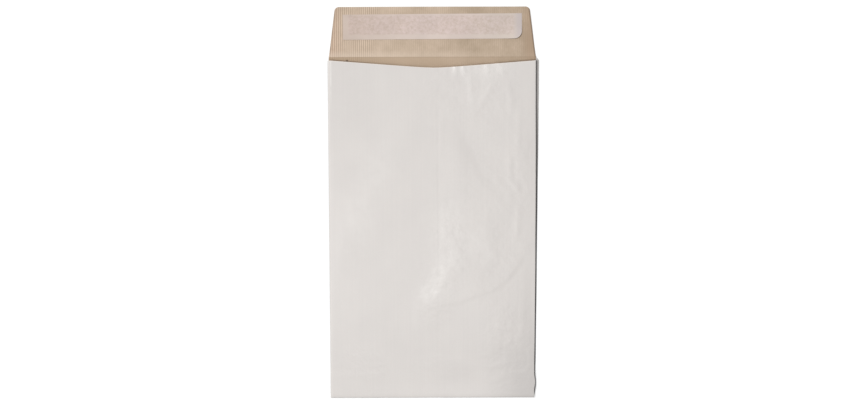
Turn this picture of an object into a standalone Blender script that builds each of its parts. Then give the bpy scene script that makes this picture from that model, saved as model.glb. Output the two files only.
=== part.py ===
"""Tear-resistant mailing bag with side gussets, lying on its back with the flap open.

The bag is one folded and glued sheet. X runs across it, +Y towards the flap and +Z up out of the
front panel. The origin lies under the middle of the whole bag, on the surface it rests on.
The sheet is lofted along a path that runs from the mouth down the bag, round the fold at its foot
and back under it. A place on the sheet is x, the distance along that path, and the height over the
back panel's outer face.
"""

from math import cos, exp, pi, sin, sqrt

import bmesh
import bpy

# Sizes of the bag, in metres
FRONT_WIDTH = 0.240
BODY_LENGTH = 0.400  # from the flap's crease to the foot
FLAP_LENGTH = 0.057
SHEET = 0.0003  # one layer of the laminate
GUSSET_DEPTH = 0.0225  # how far each side pleat reaches in
CROWN = 0.0068  # clear height inside the relaxed bag, along its middle
PILLOW_FULLNESS = 2.4  # a higher power rises faster from the side folds

# Side folds: the back's right fold stands past the front's, most at the mouth
BACK_EXTRA_MOUTH = 0.0041
BACK_EXTRA_FOOT = 0.0019
BACK_EXTRA_FULLNESS = 2.5  # a higher power brings the back's fold out later, nearer the mouth
BACK_INSET_LEFT = 0.0004
SIDE_GAP_MOUTH = 0.0011  # between a panel and the gusset ply beside it
SIDE_GAP_FOOT = 0.0006
GROOVE_MOUTH = 0.0012  # between the two plies of a gusset
GROOVE_FOOT = 0.0006
GROOVE_PRESSED = 0.0003  # the same where the foot is folded and pressed

# Glued lap that closes the tube, down the front panel
LAP_WIDTH = 0.0168
LAP_EDGE = 0.0062  # the outer ply's cut edge, right of the front's centre line
LAP_SLOPE = 0.003  # where the outer ply comes back down beside the lap

# Mouth: the front and the gussets are cut below the crease in a shallow V
MOUTH_DROP_SIDE = 0.0045
MOUTH_DROP_TIP = 0.0129
MOUTH_TIP_X = 0.005
MOUTH_ROUNDING = 0.12  # of half the width

# Flap: the back panel running on, cut in at the crease and tapered to a rounded tip
FLAP_INSET_RIGHT = 0.0036
FLAP_INSET_LEFT = 0.0011
FLAP_TAPER = 0.0074  # at each side
FLAP_CORNER_RADIUS = 0.0045
SCORE_RIDGE = 0.0002  # the crease's scored line stands this far proud on the inside
SCORE_REACH = 0.0011  # at each side of the crease

# Foot: the tube's end folded under and pasted to the back
FOOT_TURN = 0.024
FOOT_SKEW = 0.0013  # how far the turned end drifts to the right
FOOT_BEND_INSIDE = 0.00015  # inside radius of the fold
FOOT_RAMP = 0.026  # where the back comes down from the turned end to the floor
FOOT_SEAL = 0.002  # the inside ends this far above the fold
FOOT_WEDGE = 0.00012  # height of the inside at its very end
FOOT_OPEN_BY = 0.095  # where the bag has opened to its full crown
FOOT_TUCK_FROM = -0.006  # the back's right fold draws in under the front's over this stretch
FOOT_TUCK_TO = 0.013
FOOT_BULGE = 0.0013  # the front's right fold bulges out above the foot
FOOT_BULGE_AT = 0.0172
FOOT_BULGE_REACH = 0.0058
PRESS_MARGIN = 0.003  # how far past a gusset the pressed front stays level, before it comes down
PRESS_SLOPE = 0.010
PRESS_STATIONS = (0.2, 0.42, 0.66)  # where lines run up the pressed front, as shares of its width
PASTE_SETBACK = 0.004  # from the turned end's edges to the paste
PASTE_BITE = 0.00006  # how far the paste reaches into each face

# Adhesive band and its cover, on the inside of the flap
STRIP_HEIGHT = 0.030
STRIP_TOP_MARGIN = 0.007
STRIP_SIDE_MARGIN = 0.0088
STRIP_CORNER_RADIUS = 0.0003
STRIP_ROUNDED_CORNER = 0.007  # the cover's lower right corner, its finger lift
ADHESIVE_SIDE_MARGIN = 0.0065  # inside the cover's edges
ADHESIVE_TOP_MARGIN = 0.002
ADHESIVE_FOOT_MARGIN = 0.0055
ADHESIVE_THICKNESS = 0.0002
LINER_THICKNESS = 0.0002
SEAT_GAP = 0.0003

# How finely curves are divided
FOLD_SIDES = 6
PLY_SIDES = 3
BACK_SIDES = 8
FRONT_SIDES = 6  # from where the pressed front is down to the lap
BEND_SIDES = 8
CORNER_SIDES = 5
FLAP_SIDES = 3
FOOT_ROWS = 16  # from the seal to where the bag is open
LONG_ROWS = 6  # from there to the last row before the mouth
MOUTH_ROWS = 5
MOUTH_REACH = 0.035  # the last straight row's distance from the mouth
FOOT_ROW_SPREAD = 1.3  # a higher power sets the rows closer together at the seal
SHARP_ANGLE = pi / 5  # edges that turn more than this are drawn sharp

# Worked out from the sizes above
CENTRE_X = -BACK_EXTRA_MOUTH / 2
HALF_FRONT = FRONT_WIDTH / 2
STACK = 4 * SHEET + GROOVE_PRESSED  # all plies pressed together at the foot
BEND_Z = FOOT_BEND_INSIDE + STACK
BEND_Y = -(BODY_LENGTH + FLAP_LENGTH) / 2 + FOOT_BEND_INSIDE + STACK
CREASE_Y = (BODY_LENGTH - FLAP_LENGTH) / 2
TIP_Y = (BODY_LENGTH + FLAP_LENGTH) / 2
CREASE_PATH = CREASE_Y - BEND_Y
MOUTH_PATH = CREASE_PATH - MOUTH_DROP_SIDE


def clamp(value):
    return max(0.0, min(1.0, value))


def mix(start, end, share):
    return start + (end - start) * share


def ease(value, start, end):
    share = clamp((value - start) / (end - start))
    return share * share * (3 - 2 * share)


def make_material(name, colour, roughness):
    material = bpy.data.materials.new(name)
    material.use_nodes = True
    shader = material.node_tree.nodes["Principled BSDF"]
    shader.inputs["Base Color"].default_value = (*colour, 1)
    shader.inputs["Roughness"].default_value = roughness
    shader.inputs["Metallic"].default_value = 0
    return material


def add_object(name, mesh_maker, material=None):
    """Makes a mesh object from a bmesh, its faces pointing out."""
    bmesh.ops.recalc_face_normals(mesh_maker, faces=mesh_maker.faces)
    mesh = bpy.data.meshes.new(name)
    mesh_maker.to_mesh(mesh)
    mesh_maker.free()
    thing = bpy.data.objects.new(name, mesh)
    bpy.context.scene.collection.objects.link(thing)
    if material:
        mesh.materials.append(material)
    return thing


# Section across the bag


def side_folds(path):
    """x of the folds' outer tips at this distance from the foot: back and front, left and right."""
    share = clamp(path / MOUTH_PATH) ** BACK_EXTRA_FULLNESS
    extra = mix(BACK_EXTRA_FOOT, BACK_EXTRA_MOUTH, share) * ease(path, FOOT_TUCK_FROM, FOOT_TUCK_TO)
    bulge = FOOT_BULGE * exp(-(((path - FOOT_BULGE_AT) / FOOT_BULGE_REACH) ** 2))
    return {
        "back": (CENTRE_X - HALF_FRONT + BACK_INSET_LEFT, CENTRE_X + HALF_FRONT + extra),
        "front": (CENTRE_X - HALF_FRONT, CENTRE_X + HALF_FRONT + bulge),
    }


def ply_heights(path):
    """Heights of the plies' middles over the back's outer face. Pressed at the foot, loose at the mouth."""
    opened = ease(path, FOOT_SEAL, FOOT_OPEN_BY)
    wedge = FOOT_WEDGE if path >= FOOT_SEAL else 0
    along = clamp(path / MOUTH_PATH)
    side_gap = mix(wedge, mix(SIDE_GAP_FOOT, SIDE_GAP_MOUTH, along), opened)
    groove = mix(GROOVE_PRESSED, mix(GROOVE_FOOT, GROOVE_MOUTH, along), opened)
    lower = SHEET * 1.5 + side_gap
    upper = lower + SHEET + groove
    return {
        "back": SHEET / 2,
        "lower": lower,
        "upper": upper,
        "front": upper + SHEET + side_gap,
        "middle": SHEET * 1.5 + mix(wedge, CROWN, opened),
        "opened": opened,
    }


def front_rise(x, heights):
    """Share of the way from the height at the front's folds to that along its middle."""
    inward = HALF_FRONT - abs(x - CENTRE_X)
    level_to = GUSSET_DEPTH + PRESS_MARGIN
    pressed = ease(inward, level_to, level_to + PRESS_SLOPE)
    pillow = 1 - (1 - clamp(inward / HALF_FRONT)) ** PILLOW_FULLNESS
    return mix(pressed, pillow, heights["opened"])


def half_turn(centre_x, low, high, start, turn):
    """Points and outward normals round a side fold. turn is 1 to the left and -1 to the right."""
    radius = (high - low) / 2
    points = []
    for step in range(FOLD_SIDES + 1):
        angle = start + turn * pi * step / FOLD_SIDES
        normal = (turn * cos(angle), turn * sin(angle))
        points.append((centre_x + radius * cos(angle), (low + high) / 2 + radius * sin(angle), normal))
    return points


def side_of_section(path, right):
    """Middle line of one side, from the back panel round the gusset to the front panel, as on the right."""
    heights = ply_heights(path)
    folds = side_folds(path)
    mirror = 1 if right else -1
    back_tip = mirror * folds["back"][right] - SHEET / 2
    front_tip = mirror * folds["front"][right] - SHEET / 2
    inner_tip = (back_tip + front_tip) / 2 + SHEET / 2 - GUSSET_DEPTH
    back_radius = (heights["lower"] - heights["back"]) / 2
    groove_radius = (heights["upper"] - heights["lower"]) / 2
    front_radius = (heights["front"] - heights["upper"]) / 2
    back_x = back_tip - back_radius
    groove_x = inner_tip + groove_radius
    front_x = front_tip - front_radius
    points = half_turn(back_x, heights["back"], heights["lower"], -pi / 2, 1)
    for step in range(1, PLY_SIDES):
        points.append((mix(back_x, groove_x, step / PLY_SIDES), heights["lower"], (0, 1)))
    points += half_turn(groove_x, heights["lower"], heights["upper"], -pi / 2, -1)
    for step in range(1, PLY_SIDES):
        points.append((mix(groove_x, front_x, step / PLY_SIDES), heights["upper"], (0, -1)))
    points += half_turn(front_x, heights["upper"], heights["front"], -pi / 2, 1)
    return [(mirror * x, height, (mirror * normal[0], normal[1])) for x, height, normal in points]


def panel_stations(fold_x, lap_x):
    """x of the front's lengthwise lines between a side fold and the lap, from the fold inwards."""
    inward = 1 if lap_x > fold_x else -1
    level_to = GUSSET_DEPTH + PRESS_MARGIN
    down_at = CENTRE_X - inward * (HALF_FRONT - level_to - PRESS_SLOPE)
    stations = [mix(fold_x, down_at, share) for share in PRESS_STATIONS]
    stations += [down_at - inward * PRESS_SLOPE, down_at - inward * PRESS_SLOPE / 2, down_at]
    stations += [mix(down_at, lap_x, step / FRONT_SIDES) for step in range(1, FRONT_SIDES)]
    return stations


def front_stations(left_x, right_x):
    """x of the sheet's outer and inner face, and how far each is lifted by the lap, from right to left."""
    edge = CENTRE_X + LAP_EDGE
    hidden_edge = edge - LAP_WIDTH
    slope_end = hidden_edge - LAP_SLOPE
    step = SHEET / 2
    lap = [
        (edge, 0, edge, 0),
        (edge, SHEET, edge - step, 0),
        (mix(edge, hidden_edge, 0.5), SHEET, mix(edge, hidden_edge, 0.5), 0),
        (hidden_edge + step, SHEET, hidden_edge, 0),
        (hidden_edge, SHEET, hidden_edge, SHEET),
        (mix(hidden_edge, slope_end, 0.5), SHEET / 2, mix(hidden_edge, slope_end, 0.5), SHEET / 2),
        (slope_end, 0, slope_end, 0),
    ]
    from_right = [(x, 0, x, 0) for x in panel_stations(right_x, edge)]
    from_left = [(x, 0, x, 0) for x in panel_stations(left_x, slope_end)]
    return from_right + lap + from_left[::-1]


def section(path):
    """The outer and inner outline of the bag across it, as (x, height), round from the back's left end."""
    heights = ply_heights(path)
    right_side = side_of_section(path, right=1)
    left_side = side_of_section(path, right=0)[::-1]
    back_left = left_side[-1][0]
    back_right = right_side[0][0]
    middle_line = []
    for step in range(BACK_SIDES):
        middle_line.append((mix(back_left, back_right, step / BACK_SIDES), SHEET / 2, (0, -1)))
    middle_line += right_side
    outer = [(x + normal[0] * SHEET / 2, height + normal[1] * SHEET / 2) for x, height, normal in middle_line]
    inner = [(x - normal[0] * SHEET / 2, height - normal[1] * SHEET / 2) for x, height, normal in middle_line]
    for outer_x, outer_lift, inner_x, inner_lift in front_stations(left_side[0][0], right_side[-1][0]):
        rise = heights["middle"] - heights["front"]
        outer_height = heights["front"] + rise * front_rise(outer_x, heights)
        inner_height = heights["front"] + rise * front_rise(inner_x, heights)
        outer.append((outer_x, outer_height + SHEET / 2 + outer_lift))
        inner.append((inner_x, inner_height - SHEET / 2 + inner_lift))
    for x, height, normal in left_side[:-1]:
        outer.append((x + normal[0] * SHEET / 2, height + normal[1] * SHEET / 2))
        inner.append((x - normal[0] * SHEET / 2, height - normal[1] * SHEET / 2))
    return outer, inner


# Path along the bag


def back_lift(path):
    """Height of the back's outer face: over the turned end, then down to the floor."""
    return (BEND_Z + FOOT_BEND_INSIDE) * (1 - ease(path, FOOT_TURN, FOOT_TURN + FOOT_RAMP))


def on_bag(path):
    return lambda x, height: (x, BEND_Y + path, back_lift(path) + height)


def on_bend(angle):
    def place(x, height):
        reach = FOOT_BEND_INSIDE + height
        return (x, BEND_Y - reach * sin(angle), BEND_Z + reach * cos(angle))

    return place


def on_turned_end(path):
    return lambda x, height: (
        x + FOOT_SKEW * path / FOOT_TURN,
        BEND_Y + path,
        BEND_Z - FOOT_BEND_INSIDE - height,
    )


def mouth_path(x):
    """Where the front and gussets are cut: a shallow V with a rounded tip."""
    away = abs(x - CENTRE_X - MOUTH_TIP_X) / HALF_FRONT
    sharp = sqrt(away**2 + MOUTH_ROUNDING**2) - MOUTH_ROUNDING
    full = sqrt(1 + MOUTH_ROUNDING**2) - MOUTH_ROUNDING
    return MOUTH_PATH - (MOUTH_DROP_TIP - MOUTH_DROP_SIDE) * clamp(1 - sharp / full)


# The folded sheet


def ring_of(maker, outline, place):
    return [maker.verts.new(place(x, height)) for x, height in outline]


def straight_rows():
    """Distances of the level rings from the foot: close together where the bag opens, then wide apart."""
    last = MOUTH_PATH - MOUTH_REACH
    shares = [(step / FOOT_ROWS) ** FOOT_ROW_SPREAD for step in range(FOOT_ROWS)]
    opening = [mix(FOOT_SEAL, FOOT_OPEN_BY, share) for share in shares]
    return opening + [mix(FOOT_OPEN_BY, last, step / LONG_ROWS) for step in range(LONG_ROWS + 1)]


def mouth_ring(maker, outline, share, on_back):
    """A ring on its way from the last level one to the mouth's cut. The back's points stay level."""
    start = MOUTH_PATH - MOUTH_REACH
    ring = []
    for index, (x, height) in enumerate(outline):
        end = MOUTH_PATH if index in on_back else mouth_path(x)
        ring.append(maker.verts.new(on_bag(mix(start, end, share))(x, height)))
    return ring


def loft(maker, rings):
    """Walls between neighbouring rings, closed round the section."""
    for first, second in zip(rings, rings[1:]):
        count = len(first)
        for index in range(count):
            after = (index + 1) % count
            maker.faces.new((first[index], first[after], second[after], second[index]))


def flap_row(y, corner_inset=0):
    """(y, left x, right x) of the flap's cut edges at this distance along the bag."""
    folds = side_folds(MOUTH_PATH)
    inset = FLAP_TAPER * (y - CREASE_Y) / FLAP_LENGTH + corner_inset
    return (y, folds["back"][0] + FLAP_INSET_LEFT + inset, folds["back"][1] - FLAP_INSET_RIGHT - inset)


def flap_rows():
    """The flap's rows from beyond the crease to the rounded tip."""
    corner_start = TIP_Y - FLAP_CORNER_RADIUS
    first = CREASE_Y + SCORE_REACH
    rows = [flap_row(mix(first, corner_start, step / FLAP_SIDES)) for step in range(FLAP_SIDES + 1)]
    for step in range(1, CORNER_SIDES + 1):
        angle = pi / 2 * step / CORNER_SIDES
        y = corner_start + FLAP_CORNER_RADIUS * sin(angle)
        rows.append(flap_row(y, FLAP_CORNER_RADIUS * (1 - cos(angle))))
    return rows


def throat_rows(left_x, right_x):
    """From the mouth's level to the crease, along the notches cut beside the flap, and the scored line."""
    mouth_y = BEND_Y + MOUTH_PATH
    crease = flap_row(CREASE_Y)
    before = CREASE_Y - SCORE_REACH
    share = (before - mouth_y) / (CREASE_Y - mouth_y)
    return [(before, mix(left_x, crease[1], share), mix(right_x, crease[2], share)), crease]


def add_flap(maker, outer_edge, inner_edge):
    """Runs the back panel on from the mouth as the flap, with its cut edges."""
    count = len(outer_edge) - 1
    outer_row = outer_edge
    inner_row = inner_edge
    for y, left, right in throat_rows(outer_edge[0].co.x, outer_edge[-1].co.x) + flap_rows():
        lift = SCORE_RIDGE if y == CREASE_Y else 0
        across = [mix(left, right, i / count) for i in range(count + 1)]
        next_outer = [maker.verts.new((x, y, lift)) for x in across]
        next_inner = [maker.verts.new((x, y, lift + SHEET)) for x in across]
        for i in range(count):
            maker.faces.new((outer_row[i], outer_row[i + 1], next_outer[i + 1], next_outer[i]))
            maker.faces.new((inner_row[i], inner_row[i + 1], next_inner[i + 1], next_inner[i]))
        for i in (0, count):
            maker.faces.new((outer_row[i], next_outer[i], next_inner[i], inner_row[i]))
        outer_row = next_outer
        inner_row = next_inner
    for i in range(count):
        maker.faces.new((outer_row[i], outer_row[i + 1], inner_row[i + 1], inner_row[i]))


def sheet_mesh():
    maker = bmesh.new()
    on_back = range(BACK_SIDES + 1)
    outer_rings = []
    inner_rings = []
    for path in (FOOT_TURN, FOOT_TURN / 2):
        outer_rings.append(ring_of(maker, section(0)[0], on_turned_end(path)))
    for step in range(BEND_SIDES, -1, -1):
        outer_rings.append(ring_of(maker, section(0)[0], on_bend(pi * step / BEND_SIDES)))
    for path in straight_rows():
        outer, inner = section(path)
        outer_rings.append(ring_of(maker, outer, on_bag(path)))
        inner_rings.append(ring_of(maker, inner, on_bag(path)))
    for step in range(1, MOUTH_ROWS + 1):
        outer, inner = section(MOUTH_PATH - MOUTH_REACH * (1 - step / MOUTH_ROWS))
        outer_rings.append(mouth_ring(maker, outer, step / MOUTH_ROWS, on_back))
        inner_rings.append(mouth_ring(maker, inner, step / MOUTH_ROWS, on_back))
    loft(maker, outer_rings)
    loft(maker, inner_rings)
    maker.faces.new(outer_rings[0])  # the turned end's cut edge
    maker.faces.new(inner_rings[0])  # the foot of the inside
    outer_mouth = outer_rings[-1]
    inner_mouth = inner_rings[-1]
    count = len(outer_mouth)
    for index in range(BACK_SIDES, count):
        after = (index + 1) % count
        maker.faces.new((outer_mouth[index], outer_mouth[after], inner_mouth[after], inner_mouth[index]))
    add_flap(maker, [outer_mouth[i] for i in on_back], [inner_mouth[i] for i in on_back])
    return maker


def paste_under_foot():
    """The paste between the turned end and the back, as a slab that bites into both."""
    folds = side_folds(0)
    left = folds["back"][0] + PASTE_SETBACK
    right = folds["back"][1] - PASTE_SETBACK
    low = BEND_Z - FOOT_BEND_INSIDE - PASTE_BITE
    high = BEND_Z + FOOT_BEND_INSIDE + PASTE_BITE
    near = BEND_Y + PASTE_SETBACK
    far = BEND_Y + FOOT_TURN - PASTE_SETBACK
    maker = bmesh.new()
    bmesh.ops.create_cube(maker, size=1)
    bmesh.ops.scale(maker, vec=(right - left, far - near, high - low), verts=maker.verts)
    middle = ((left + right) / 2, (near + far) / 2, (low + high) / 2)
    bmesh.ops.translate(maker, vec=middle, verts=maker.verts)
    paste = add_object("foot_paste", maker)
    paste.hide_render = True
    paste.display_type = "WIRE"
    return paste


def make_bag():
    white_laminate = make_material("white_laminate", (0.74, 0.71, 0.68), 0.42)
    bag = add_object("bag", sheet_mesh(), white_laminate)
    glued = bag.modifiers.new("glued_foot", "BOOLEAN")
    glued.operation = "UNION"
    glued.solver = "EXACT"
    glued.object = paste_under_foot()
    bag.data.shade_smooth()
    bag.data.set_sharp_from_angle(angle=SHARP_ANGLE)
    return bag


# The closing strip


def rounded_plate(name, left, right, low, high, bottom, thickness, radii, material):
    """A flat plate lying at this height. radii are its corners', from lower left, anticlockwise."""
    corners = (
        (left, low, 1, 1, pi),
        (right, low, -1, 1, 1.5 * pi),
        (right, high, -1, -1, 0),
        (left, high, 1, -1, pi / 2),
    )
    maker = bmesh.new()
    outline = []
    for (x, y, inward_x, inward_y, start), radius in zip(corners, radii):
        for step in range(CORNER_SIDES + 1):
            angle = start + pi / 2 * step / CORNER_SIDES
            arc_x = x + inward_x * radius + radius * cos(angle)
            arc_y = y + inward_y * radius + radius * sin(angle)
            outline.append(maker.verts.new((arc_x, arc_y, bottom)))
    face = maker.faces.new(outline)
    extruded = bmesh.ops.extrude_face_region(maker, geom=[face])
    raised = [part for part in extruded["geom"] if isinstance(part, bmesh.types.BMVert)]
    bmesh.ops.translate(maker, vec=(0, 0, thickness), verts=raised)
    return add_object(name, maker, material)


def make_closing_strip():
    tip = flap_row(TIP_Y)
    left = tip[1] + STRIP_SIDE_MARGIN
    right = tip[2] - STRIP_SIDE_MARGIN
    high = TIP_Y - STRIP_TOP_MARGIN
    low = high - STRIP_HEIGHT
    adhesive_bottom = SHEET + SEAT_GAP
    liner_bottom = adhesive_bottom + ADHESIVE_THICKNESS + SEAT_GAP
    square = STRIP_CORNER_RADIUS
    rounded_plate(
        "adhesive_strip",
        left + ADHESIVE_SIDE_MARGIN,
        right - ADHESIVE_SIDE_MARGIN,
        low + ADHESIVE_FOOT_MARGIN,
        high - ADHESIVE_TOP_MARGIN,
        adhesive_bottom,
        ADHESIVE_THICKNESS,
        (square, square, square, square),
        make_material("adhesive", (0.62, 0.5, 0.42), 0.3),
    )
    rounded_plate(
        "release_liner",
        left,
        right,
        low,
        high,
        liner_bottom,
        LINER_THICKNESS,
        (square, STRIP_ROUNDED_CORNER, square, square),
        make_material("release_paper", (0.66, 0.56, 0.51), 0.35),
    )


def main():
    for thing in list(bpy.data.objects):
        bpy.data.objects.remove(thing)
    make_bag()
    make_closing_strip()


main()
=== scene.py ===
# Gusseted mailing bag, white laminate outside and ribbed kraft inside, lying on its back with the flap open
from math import cos, exp, hypot, pi, radians, sin, sqrt

import bmesh
import bpy
import numpy
from mathutils import Matrix, Vector, noise


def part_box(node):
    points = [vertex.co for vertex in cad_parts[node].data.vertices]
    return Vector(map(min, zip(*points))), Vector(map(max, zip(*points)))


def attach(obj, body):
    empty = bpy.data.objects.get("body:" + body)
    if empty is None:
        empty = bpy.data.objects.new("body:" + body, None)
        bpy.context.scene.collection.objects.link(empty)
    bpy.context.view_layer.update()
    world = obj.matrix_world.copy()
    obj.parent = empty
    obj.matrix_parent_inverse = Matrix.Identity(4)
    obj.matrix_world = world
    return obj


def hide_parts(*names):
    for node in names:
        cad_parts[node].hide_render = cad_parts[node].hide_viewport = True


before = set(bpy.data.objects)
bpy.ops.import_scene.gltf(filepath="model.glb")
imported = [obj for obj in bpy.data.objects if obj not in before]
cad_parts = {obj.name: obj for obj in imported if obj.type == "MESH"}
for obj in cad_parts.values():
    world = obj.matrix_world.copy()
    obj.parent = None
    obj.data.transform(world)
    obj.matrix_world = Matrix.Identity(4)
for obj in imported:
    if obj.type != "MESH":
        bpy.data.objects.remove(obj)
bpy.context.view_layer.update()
bagLow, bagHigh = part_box("bag")

# Sizes are in metres, and a place along the bag is measured up from the foot's fold

bagShape = {
    "frontWidth": 0.240,
    "flapLength": 0.057,
    "sheet": 0.00026,  # drawn a little thinner than its layer in the frame, so pressed plies part
    "layer": 0.0003,
    "gussetDepth": 0.0225,
    "gussetWaver": (0.0004, 0.07),  # how much the inner folds waver, and over what length
    "crown": 0.0068,
    "crownMouth": 0.0051,
    "crownFalls": (0.18, 0.34),  # from where to where along the bag
    "pillowFoot": 2.2,  # how boxy the filled-out front is: 2 is a plain arch
    "pillowMouth": 3.6,
    "pillowTurns": (0.12, 0.34),
    "sideGapMouth": 0.0011,  # between a pleat and the panels
    "sideGapFoot": 0.0006,
    "sideGapWaver": (0.35, 0.045),  # what share of it varies, and over what length
    "grooveMouth": 0.0012,  # between a pleat's own plies
    "grooveFoot": 0.0006,
    "groovePressed": 0.0003,
    "grooveWaver": (0.4, 0.06),
    "gapSeeds": (21, 11),  # of the left pleat and the right
    "openAtFoot": 0.6,  # share of the mouth's gaps that is left towards the foot
}
foldShape = {
    "backExtraMouth": 0.0041,  # the back's right fold stands past the front's
    "backExtraFoot": 0.0015,
    "backOut": 0.0004,
    "backStarts": (-0.006, 0.013),
    "backInsetLeft": 0.0004,
    "bow": 0.0006,  # how far the side folds bow out halfway up
    "backBow": 0.8,  # the back's share of that
    "frontOut": 0.0001,
    "wider": ((0.03, 0.07, 0.0003), (0.19, 0.26, 0.0002)),  # the front's right fold: from, to, how much
    "pinch": (0.031, 0.011, 0.0005),  # the back's right fold is drawn in: where, how long, how much
    "driftStarts": (0.01, 0.05),
    "frontRight": (0.05, 1, 0.0002),  # how each fold drifts: length, seed, how much
    "backRight": (0.06, 2, 0.0002),
    "frontLeft": (0.05, 3, 0.0001),
    "backLeft": (0.06, 4, 0.0002),
}
lapShape = {
    "edge": 0.0062,
    "width": 0.0168,
    "slope": 0.008,
    "pressed": 0.40,  # share of the sheet's thickness that each glued ply keeps where the lap shows
    "flattest": 0.22,  # and towards the foot and the mouth, where it doesn't
    "shows": (0.12, 0.26, 0.29, 0.335),  # from where to where it shows, along the bag
    "thinEdge": 0.12,  # what is left at the outer ply's cut edge
    "glue": 0.000005,
}
mouthShape = {
    "dropSide": 0.0045,
    "dropTip": 0.0129,
    "tipX": 0.0036,
    "rounding": 0.12,
    "reach": 0.035,  # how much of the bag bends its rows to the mouth's cut
    "rim": 0.0009,
    "pressed": 0.00014,  # the cut edge is pressed down this much
}
flapShape = {
    "insetRight": 0.0036,
    "insetLeft": 0.0011,
    "besideInset": 0.0002,  # two points on the pleat, close beside where the flap's edge starts
    "taper": 0.0074,
    "corner": 0.0045,
    "rowsLean": 1.1,
    "ridge": 0.0016,  # the opened crease stands this proud
    "ridgeRise": 0.0115,  # comes up over this much of the throat
    "ridgeFall": 0.0045,  # and dies away over this much of the flap
    "creaseBeside": 0.0005,
    "arch": 0.0011,
    "archBy": 0.03,
    "wave": 0.00025,
    "waveLength": 0.06,
    "waveFrom": (0.002, 0.03),
    "edgeCurl": 0.0006,
    "curlAcross": (0.72, 1.0),
    "curlAlong": (0.004, 0.04),
}
footShape = {
    "turn": 0.024,
    "skew": 0.0013,
    "bendInside": 0.00015,
    "ramp": 0.026,
    "seal": 0.002,
    "wedge": 0.00012,
    "openBy": 0.095,
    "fullBy": 0.125,  # where the front reaches its full crown
    "bulge": 0.0013,
    "bulgeAt": 0.0172,
    "bulgeReach": 0.0058,
    "bulgeEnd": (0.25, 0.006),  # share left at the foot's fold, and over what length
    "bulgeBack": 0.4,  # the back's share of it
}
meshSteps = {"fold": 6, "ply": 8, "back": 48, "rightPanel": 58, "leftPanel": 38, "lap": 7, "slope": 3,
             "bend": 10, "turned": 6, "body": 156, "mouth": 16, "throat": 3, "flap": 22, "corner": 6}

layer = bagShape["layer"]
centreX = -foldShape["backExtraMouth"] / 2
halfFront = bagShape["frontWidth"] / 2
stack = 4 * layer + bagShape["groovePressed"]
bendZ = footShape["bendInside"] + stack
bendY = bagLow.y + bendZ
creaseY = bagHigh.y - bagShape["flapLength"]
tipY = bagHigh.y
mouthPath = creaseY - mouthShape["dropSide"] - bendY
smoothAngle = radians(50)


def clamp(value):
    return max(0.0, min(1.0, value))


def mix(start, end, share):
    return start + (end - start) * share


def ease(value, start, end):
    share = clamp((value - start) / (end - start))
    return share * share * (3 - 2 * share)


def softStep(values, start, end):  # the same for a whole array
    share = numpy.clip((values - start) / (end - start), 0, 1)
    return share * share * (3 - 2 * share)


def backLift(path):  # over the turned end, then down to the table
    rampEnd = footShape["turn"] + footShape["ramp"]
    return (bendZ + footShape["bendInside"]) * (1 - ease(path, footShape["turn"], rampEnd))


def waver(place, size, seed):  # slow, repeatable unevenness from -1 to 1
    return noise.noise(Vector((place / size, seed * 7.3, 0.37 * seed)))


def stepShares(stretch, start=0):  # how far along a stretch of the mesh each of its steps lies
    steps = meshSteps[stretch]
    return [step / steps for step in range(start, steps + start)]


# The folded section, as the line through the middle of the sheet

def foldDrift(path, fold):
    length, seed, amount = foldShape[fold]
    return amount * ease(path, *foldShape["driftStarts"]) * waver(path, length, seed)


def foldTips(path):
    share = clamp(path / mouthPath) ** 2
    extra = mix(foldShape["backExtraFoot"], foldShape["backExtraMouth"], share) + foldShape["backOut"]
    bow = foldShape["bow"] * sin(pi * clamp(path / mouthPath)) ** 2
    # Just above the foot the front's right fold bulges out over the turned end
    endShare, endReach = footShape["bulgeEnd"]
    bulge = exp(-(((path - footShape["bulgeAt"]) / footShape["bulgeReach"]) ** 2))
    bulge = footShape["bulge"] * (bulge + endShare * (1 - ease(path, 0, endReach)))
    wider = sum(amount * ease(path, start, end) for start, end, amount in foldShape["wider"])
    pinchAt, pinchReach, pinchDepth = foldShape["pinch"]
    pinch = pinchDepth * exp(-(((path - pinchAt) / pinchReach) ** 2))
    frontRight = halfFront + bow + foldShape["frontOut"] + foldDrift(path, "frontRight") + bulge + wider
    backRight = halfFront + extra * ease(path, *foldShape["backStarts"]) + bow * foldShape["backBow"] - pinch
    backRight += foldDrift(path, "backRight") + bulge * footShape["bulgeBack"]
    frontLeft = -halfFront + foldShape["frontOut"] + foldDrift(path, "frontLeft")
    backLeft = -halfFront + foldShape["backInsetLeft"] + foldDrift(path, "backLeft")
    return {"back": (centreX + backLeft, min(centreX + backRight, bagHigh.x)),
            "front": (centreX + frontLeft, centreX + frontRight)}


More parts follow.
